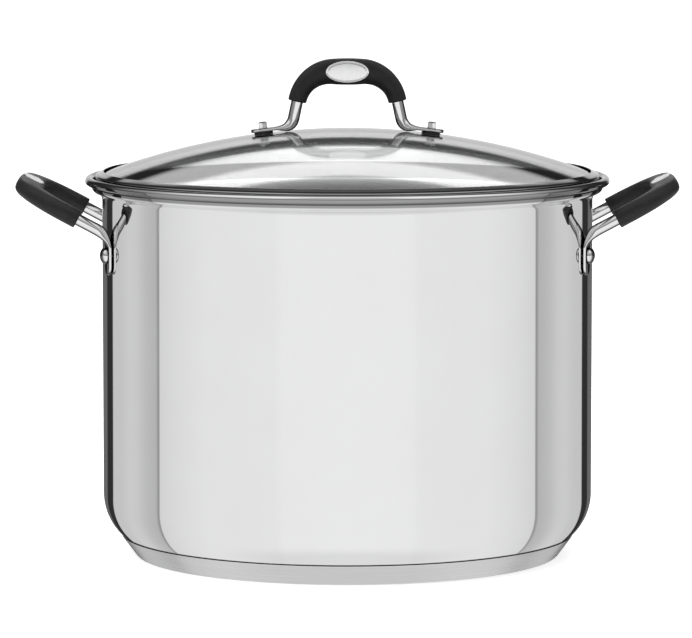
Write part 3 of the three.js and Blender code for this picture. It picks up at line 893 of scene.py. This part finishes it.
# ------------------------------------------------------------------ lid
def dome_z(r, depth=0.0):
    return DOME_TOP - DOME_R + math.sqrt((DOME_R - depth) ** 2 - r ** 2)


def screw_place(side):
    """A frame at a lid screw: its z runs square off the glass, from the glass's outer face."""
    return (
        Matrix.Translation((0, 0, DOME_TOP - DOME_R))
        @ Matrix.Rotation(side * math.asin(SCREW_X / DOME_R), 4, "Y")
        @ Matrix.Translation((0, 0, DOME_R))
    )


def screw_holes(low, high):
    return [rod_tool(SCREW_SHANK + GAP / 2, low, high, screw_place(side)) for side in SIDES.values()]


def make_glass():
    rows = 56
    reach = GLASS_EDGE - 2
    radii = [reach * i / rows for i in range(rows + 1)]
    under = [(r, dome_z(r, GLASS)) for r in radii]
    over = [(r, dome_z(r)) for r in reversed(radii)]
    edge_z = (under[-1][1] + over[0][1]) / 2
    edge = [
        (reach + 1.96 * math.cos(math.radians(a)), edge_z + 2.06 * math.sin(math.radians(a)))
        for a in range(-75, 76, 15)
    ]
    glass = turned("lid_dome", under + edge + over, smooth_angle=60)
    combined(glass, screw_holes(-8, 4), "DIFFERENCE", 60)
    finished(glass, "lid_glass", "lid", GLASS_CLEAR)


def make_band():
    """The steel band: a channel crimped round the glass, with rounded folds."""
    edge = dome_z(GLASS_EDGE)

    def at(inward, up):
        return (BAND_R - inward, edge + up)

    outer = flowing([at(2.6, -9.75), at(1.2, -8.1), at(0.3, -6.5), at(0, -4.8)], 5)
    outer += [at(0, -3), at(0, -1), at(0, -0.2)]
    outer += arc(BAND_R - 1.4, edge + 0.1, 1.4, 6, 62, 8)
    outer += flowing([at(2.8, 2.35), at(4.8, 3.3), at(5.35, 3.25), at(5.5, 2.95), at(5.2, 2.6)], 4)
    inner = [at(2.2, 1.2), at(0.8, 0.35), at(0.8, -4.8), at(1.9, -5.9), at(5.1, -3.1), at(5.6, -3.1)]
    band = turned("lid_rim_band", outer + inner + [at(5.75, -3.6)], smooth_angle=50)
    finished(band, "lid_band", "lid", BAND)


def lid_handle_line():
    tilt = math.asin(SCREW_X / DOME_R)
    lift = GASKET_THICK + 2 * GAP + TAIL_THICK / 2

    def on_tail(out):
        across = out * math.cos(tilt) + lift * math.sin(tilt)
        up = lift * math.cos(tilt) - out * math.sin(tilt)
        return Vector((-(SCREW_X + across), 0, dome_z(SCREW_X) + up))

    def on_leg(z):
        return Vector((-(KNEE_X - (z - KNEE_Z) * math.tan(LEG_LEAN)), 0, z))

    tail = [(on_tail(TAIL_PAST - step), 0.0) for step in [0] + end_steps(TAIL_WIDE / 2)]
    knee = (on_leg(KNEE_Z), LEG_BEND_R)
    lips = [(on_leg(LID_SLEEVE_Z + step), 0.0) for step in (0, 0.08, 0.25, 0.5, 0.8)]
    return bent_line(mirrored(tail + [knee] + lips + [(on_leg(ARCH_Z), ARCH_R)], 0), 2.0, 20)


def make_lid_handle():
    line = lid_handle_line()
    facing = Vector((0, -1, 0))
    flat = (TAIL_THICK / 2, TAIL_WIDE / 2, 16, 12)
    tube = pressed_tube("lid_handle_bar", line, lambda station: facing, flat, False)
    combined(tube, screw_holes(-2, 12), "DIFFERENCE")
    finished(tube, "lid_handle_tube", "lid", HANDLE)
    start_run = next(s[2] for s in line if s[0].z > LID_SLEEVE_Z - 0.02)
    place = Matrix(((1, 0, 0, 0), (0, 0, -1, 0), (0, 1, 0, ARCH_Z), (0, 0, 0, 1)))
    grip = sleeve("lid_handle_sleeve", line, facing, start_run)
    combined(grip, [inlay_tool(place)], "DIFFERENCE", 60)
    finished(grip, "lid_handle_grip", "lid", SILICONE)
    plate = oval_inlay("lid_handle_oval", place)
    finished(plate, "lid_handle_inlay", "lid", INLAY)


def collar(name, place, outer, low, high, rounding=0.35, around=72):
    """A washer with rounded edges, loose on the screw."""
    bore = SCREW_SHANK + GAP / 2
    profile = [(bore, low), (outer - rounding, low)]
    profile += arc(outer - rounding, low + rounding, rounding, -80, 0, 4)
    profile += arc(outer - rounding, high - rounding, rounding, 0, 90, 4)
    profile += [(bore, high)]
    return turned(name, profile, place, around)


def hexagon(angle, across):
    """Distance from the centre to a hexagon's side, along an angle."""
    folded = (angle + math.pi / 6) % (math.pi / 3) - math.pi / 6
    return across / math.cos(folded)


def hex_rows(across, rows, place, count=72):
    """Sections of a chamfered hexagon: each row is (height, largest radius)."""
    angles = [2 * math.pi * i / count for i in range(count)]
    return [
        [
            place @ Vector((r * math.cos(a), r * math.sin(a), height))
            for a in angles
            for r in [min(limit, hexagon(a, across))]
        ]
        for height, limit in rows
    ]


def make_screw_stack(label, side):
    place = screw_place(side)
    washer_top = -GLASS - GAP / 2
    washer_low = washer_top - 1.3
    nut_top = washer_low - GAP
    nut_low = nut_top - 3.2
    head_low = GASKET_THICK + 3 * GAP + TAIL_THICK - GAP / 2
    head_high = head_low + SCREW_HEIGHT
    gasket = collar(f"gasket_{label}", place, GASKET_R, GAP / 2, GAP + GASKET_THICK)
    finished(gasket, f"lid_gasket_{label}", "lid", RUBBER)
    washer = collar(f"washer_{label}", place, 5.5, washer_low, washer_top)
    finished(washer, f"lid_washer_{label}", "lid", RUBBER)
    across = SCREW_HEAD * 0.93
    rows = [
        (nut_low - 1, SCREW_SHANK - 0.4), (nut_low - 0.6, SCREW_SHANK), (head_low, SCREW_SHANK),
        (head_low, SCREW_HEAD - 0.1), (head_low + 0.2, SCREW_HEAD + 0.3),
        (head_high - 1.0, SCREW_HEAD + 0.3), (head_high - 0.55, SCREW_HEAD),
        (head_high - 0.2, SCREW_HEAD - 0.55), (head_high, SCREW_HEAD - 1.1),
    ]
    screw = skinned(f"screw_{label}", hex_rows(across, rows, place), smooth_angle=25)
    finished(screw, f"lid_screw_{label}", "lid", HANDLE)
    nut_rows = [(nut_low, 3.3), (nut_low + 0.4, 4.2), (nut_top - 0.4, 4.2), (nut_top, 3.3)]
    outside = hex_rows(3.5, nut_rows, place)
    bore = hex_rows(9, [(nut_top, SCREW_SHANK + 0.1), (nut_low, SCREW_SHANK + 0.1)], place)
    nut = skinned(f"nut_{label}", outside + bore, looped=True, smooth_angle=25)
    finished(nut, f"lid_nut_{label}", "lid", HANDLE)


# ------------------------------------------------------------------ jar rack
BAR_Z = RACK_Z + RACK_WIRE + GAP + ROD_R
BRACE_Z = BAR_Z - 2 * ROD_R - GAP
HINGE_X = math.sqrt(RACK_R ** 2 - BAIL_Y ** 2)


def rod(name, radius, half, place):
    """A wire rod along z with rounded ends."""
    ends = dome(radius, half - radius * 0.6, radius * 0.6, 6)
    profile = [(r, -z) for r, z in reversed(ends)] + ends
    return turned(name, profile, place, 32)


def torus(name, radius, wire, place, around=AROUND, sides=24):
    return turned(name, arc(radius, 0, wire, 0, 360 - 360 / sides, sides - 1), place, around)


def bail(name):
    """A lifting bail on the +X side: a bent wire that ends in two eyes round the rack's ring."""
    up = Vector((math.sin(BAIL_LEAN), 0, math.cos(BAIL_LEAN)))
    hinge = Vector((HINGE_X, 0, RACK_Z))

    def at(y, reach):
        return hinge + Vector((0, y, 0)) + up * reach

    corners = [(at(-BAIL_Y, EYE_R), 0.0), (at(-BAIL_Y, BAIL_REACH), BAIL_CORNER)]
    line = bent_line(mirrored(corners, 1), 12, 16)
    wire = skinned(name, [section(s, Vector((1, 0, 0)), ROD_R, ROD_R, 2.0, 20) for s in line])
    across = Matrix.Rotation(math.pi / 2, 4, "X")
    eyes = [
        torus("tool", EYE_R, ROD_R, Matrix.Translation((HINGE_X, end * BAIL_Y, RACK_Z)) @ across, 48, 16)
        for end in ENDS.values()
    ]
    return combined(wire, eyes, "UNION", 50)


def make_rack():
    ring = torus("rack_hoop", RACK_R, RACK_WIRE, Matrix.Translation((0, 0, RACK_Z)))
    finished(ring, "rack_ring", "rack", WIRE)
    for i in range(BAR_COUNT):
        y = (i - (BAR_COUNT - 1) / 2) * BAR_SPACING
        half = math.sqrt(RACK_R ** 2 - y ** 2) + 1
        place = Matrix.Translation((0, y, BAR_Z)) @ Matrix.Rotation(math.pi / 2, 4, "Y")
        finished(rod(f"rack_rod_{i + 1}", ROD_R, half, place), f"rack_bar_{i + 1}", "rack", WIRE)
    for label, side in SIDES.items():
        low, high = cad(f"rack_brace_{label}")
        lie = Matrix.Translation((side * 55.0, 0, BRACE_Z)) @ Matrix.Rotation(math.pi / 2, 4, "X")
        brace = rod(f"rack_cross_{label}", ROD_R, high.y, lie)
        finished(brace, f"rack_brace_{label}", "rack", WIRE)
        for end in ENDS:
            node = f"rack_foot_{label}_{end}"
            low, high = cad(node)
            middle = (low + high) / 2
            foot = rod(f"{node}_peg", 2.45, (high.z - low.z) / 2, Matrix.Translation(middle))
            finished(foot, node, "rack", WIRE)
        hoop = turn_piece(bail(f"rack_lifter_{label}"), 0 if side > 0 else math.pi)
        finished(hoop, f"rack_bail_{label}", f"rack_bail_{label}", WIRE)


# ------------------------------------------------------------------ studio
FLOOR_HALF = 60.0


def make_floor():
    corners = [(-1, -1), (1, -1), (1, 1), (-1, 1)]
    mesh = bpy.data.meshes.new("studio_floor")
    mesh.from_pydata([(x * FLOOR_HALF, y * FLOOR_HALF, 0) for x, y in corners], [], [(0, 1, 2, 3)])
    floor = bpy.data.objects.new("studio_floor", mesh)
    bpy.context.scene.collection.objects.link(floor)
    f = Finish("studio_paper").set(Roughness=0.9, Specular_IOR_Level=0.1, Emission_Strength=0.4)
    f.shader.inputs["Emission Color"].default_value = (1, 1, 1, 1)
    grain = f.noise(f.place, 400.0, 3.0)
    f.colour(f.shade(grain, (0.93, 0.93, 0.93), (0.95, 0.95, 0.95)))
    floor.data.materials.append(f.material)
    floor.visible_glossy = False


# Brightness that the steel and the lid mirror, set one by one until their greys came near the photo's.
# LEVEL is what stands round the pot at its own height, by angle from the front: a broad panel, its thin
# dark frame, grey side panels, a black flag and a dim back. The OVER lists are what hangs above it, by
# angle
# over the horizon: a grey front, lights at the quarters, dimmer sides, and behind a dark rail and canopy.
LEVEL = [
    (0, 0.935), (30, 0.925), (34, 0.89), (70, 0.87), (88, 0.80), (98.5, 0.74), (99.1, 0.33), (100.1, 0.33),
    (101, 0.51), (109, 0.57), (117, 0.66), (124, 0.68), (134, 0.62), (144.9, 0.6), (145.8, 0.03),
    (156, 0.03), (158, 0.14), (180, 0.15),
]
LEVEL_TILT = math.radians(8.8)
OVER_FRONT = [
    (-5, 0.95), (1, 0.95), (3, 0.24), (12, 0.22), (20, 0.42), (30, 0.5),
    (60, 0.5), (68, 0.9), (90, 1.0),
]
OVER_QUARTER = [
    (-5, 0.9), (0, 0.8), (3, 0.27), (8, 0.27), (18, 0.4), (28, 0.65),
    (38, 0.85), (48, 0.97), (90, 1.0),
]
OVER_SIDE = [
    (-5, 0.1), (5, 0.18), (15, 0.28), (25, 0.35), (35, 0.43), (50, 0.5),
    (65, 0.6), (80, 0.9), (90, 1.0),
]
OVER_REAR = [
    (-5, 0.08), (2, 0.04), (15, 0.06), (25, 0.12), (38, 0.18), (52, 0.25),
    (65, 0.4), (80, 0.9), (90, 1.0),
]
OVER_BACK = [
    (-5, 0.28), (12, 0.26), (14.5, 0.23), (15.8, 0.01), (21, 0.01), (22.6, 0.25), (24, 0.34), (27, 0.36),
    (30.4, 0.4), (32.2, 0.86), (38, 0.94), (38.9, 0.3), (41, 0.22), (44, 0.14), (48, 0.07), (60, 0.09),
    (70, 0.26), (90, 0.33),
]
BACK_STRENGTH = 3.0

# Angles, in degrees, over which one of these lists eases into the next.
OVER_TURNS = ((18, 38, OVER_QUARTER), (85, 108, OVER_SIDE), (115, 135, OVER_REAR))
BACK_TURN = (158, 167)
HORIZON = (-4.6, -3.9)

# The floor's darkening in the mirror, the dimming of what is low behind the lid, and the white surround.
FLOOR_SHARE = 0.86
FLOOR_FADE = (52, 78)
THROUGH_SHADE = 0.75
THROUGH_ROUND = (140, 155)
THROUGH_OVER = (5, 12)
SURROUND = 1.12


class Studio:
    """The world's nodes: a white surround for the camera and soft light, and the studio's panels for
    whatever mirrors it or is seen through the lid."""

    def __init__(self):
        world = bpy.data.worlds.new("studio")
        world.use_nodes = True
        bpy.context.scene.world = world
        self.tree = world.node_tree
        self.tree.nodes.clear()

    def add(self, kind, **settings):
        node = self.tree.nodes.new(kind)
        for key, value in settings.items():
            setattr(node, key, value)
        return node

    def feed(self, value, socket):
        if isinstance(value, (int, float)):
            socket.default_value = value
        else:
            self.tree.links.new(value, socket)

    def math(self, operation, a, b=0.0):
        node = self.add("ShaderNodeMath", operation=operation)
        self.feed(a, node.inputs[0])
        self.feed(b, node.inputs[1])
        return node.outputs[0]

    def rise(self, value, low, high):
        """0 below low, 1 above high, and eased between."""
        node = self.add("ShaderNodeMapRange", interpolation_type="SMOOTHSTEP")
        node.inputs["From Min"].default_value = low
        node.inputs["From Max"].default_value = high
        self.feed(value, node.inputs["Value"])
        return node.outputs["Result"]

    def blend(self, share, a, b):
        node = self.add("ShaderNodeMix")
        self.feed(share, node.inputs["Factor"])
        self.feed(a, node.inputs["A"])
        self.feed(b, node.inputs["B"])
        return node.outputs["Result"]

    def panels(self, angle, low, high, stops):
        """Brightness by an angle in degrees, from a list of (angle, brightness)."""
        node = self.add("ShaderNodeValToRGB")
        share = self.add("ShaderNodeMapRange")
        share.inputs["From Min"].default_value = low
        share.inputs["From Max"].default_value = high
        self.feed(angle, share.inputs["Value"])
        self.feed(share.outputs["Result"], node.inputs["Fac"])
        elements = node.color_ramp.elements
        for element, (degrees, value) in zip(elements, (stops[0], stops[-1])):
            element.position = (degrees - low) / (high - low)
            element.color = (value, value, value, 1)
        for degrees, value in stops[1:-1]:
            elements.new((degrees - low) / (high - low)).color = (value, value, value, 1)
        return node.outputs["Color"]

    def background(self, colour, strength=1.0):
        node = self.add("ShaderNodeBackground")
        node.inputs["Strength"].default_value = strength
        if colour:
            self.feed(colour, node.inputs["Color"])
        else:
            node.inputs["Color"].default_value = (1, 1, 1, 1)
        return node.outputs[0]

    def choose(self, share, a, b):
        node = self.add("ShaderNodeMixShader")
        self.feed(share, node.inputs[0])
        self.feed(a, node.inputs[1])
        self.feed(b, node.inputs[2])
        return node.outputs[0]


def make_world():
    s = Studio()
    split = s.add("ShaderNodeSeparateXYZ")
    s.feed(s.add("ShaderNodeTexCoord").outputs["Generated"], split.inputs[0])
    x, y, z = split.outputs
    degree = math.degrees(1)
    sideways = s.math("ABSOLUTE", x)
    round_angle = s.math("MULTIPLY", s.math("ARCTAN2", sideways, s.math("MULTIPLY", y, -1.0)), degree)
    over_angle = s.math("MULTIPLY", s.math("ARCSINE", z), degree)
    under_angle = s.math("MULTIPLY", over_angle, -1.0)
    # The panels lean back as they rise, so their images stay upright down the pot's round corner.
    nearer = s.math("SUBTRACT", math.cos(LEVEL_TILT), y)
    level_angle = s.math("MULTIPLY", s.math("ARCTAN2", sideways, nearer), 2 * degree)
    level = s.panels(level_angle, 0, 180, LEVEL)
    level = s.math("MULTIPLY", level, s.blend(s.rise(under_angle, *FLOOR_FADE), 1.0, FLOOR_SHARE))
    over = s.panels(over_angle, -90, 90, OVER_FRONT)
    for start, end, stops in OVER_TURNS:
        over = s.blend(s.rise(round_angle, start, end), over, s.panels(over_angle, -90, 90, stops))
    back = s.math("MULTIPLY", s.panels(over_angle, -90, 90, OVER_BACK), BACK_STRENGTH)
    over = s.blend(s.rise(round_angle, *BACK_TURN), over, back)
    rays = s.add("ShaderNodeLightPath").outputs
    low = s.math("SUBTRACT", 1.0, s.rise(over_angle, *THROUGH_OVER))
    low_behind = s.math("MULTIPLY", s.rise(round_angle, *THROUGH_ROUND), low)
    through = s.math("MULTIPLY", s.math("MULTIPLY", rays["Is Transmission Ray"], low_behind), THROUGH_SHADE)
    tone = s.blend(s.rise(over_angle, *HORIZON), level, over)
    studio = s.background(s.math("MULTIPLY", tone, s.math("SUBTRACT", 1.0, through)))
    seen = s.math("MAXIMUM", rays["Is Glossy Ray"], rays["Is Transmission Ray"])
    everything = s.choose(seen, s.background(None, SURROUND), studio)
    s.feed(everything, s.add("ShaderNodeOutputWorld").inputs["Surface"])


def make_softbox(name, place, aim, size, power):
    data = bpy.data.lights.new(name, "AREA")
    data.shape = "RECTANGLE"
    data.size, data.size_y = size
    data.energy = power
    light = bpy.data.objects.new(name, data)
    light.location = place
    light.rotation_euler = (Vector(aim) - Vector(place)).to_track_quat("-Z", "Y").to_euler()
    light.visible_glossy = False
    light.visible_transmission = False
    bpy.context.scene.collection.objects.link(light)


bpy.context.scene.view_settings.view_transform = "Standard"
make_floor()
make_world()
make_softbox("key_softbox", (-1.2, -1.6, 1.9), (0, 0, 0.2), (1.2, 1.2), 18)
make_softbox("top_softbox", (0.2, 0.3, 2.4), (0, 0, 0.1), (2.0, 2.0), 16)

make_pot()
make_base()
for label, side in SIDES.items():
    make_side_handle(label, side)
make_glass()
make_band()
make_lid_handle()
for label, side in SIDES.items():
    make_screw_stack(label, side)
make_rack()
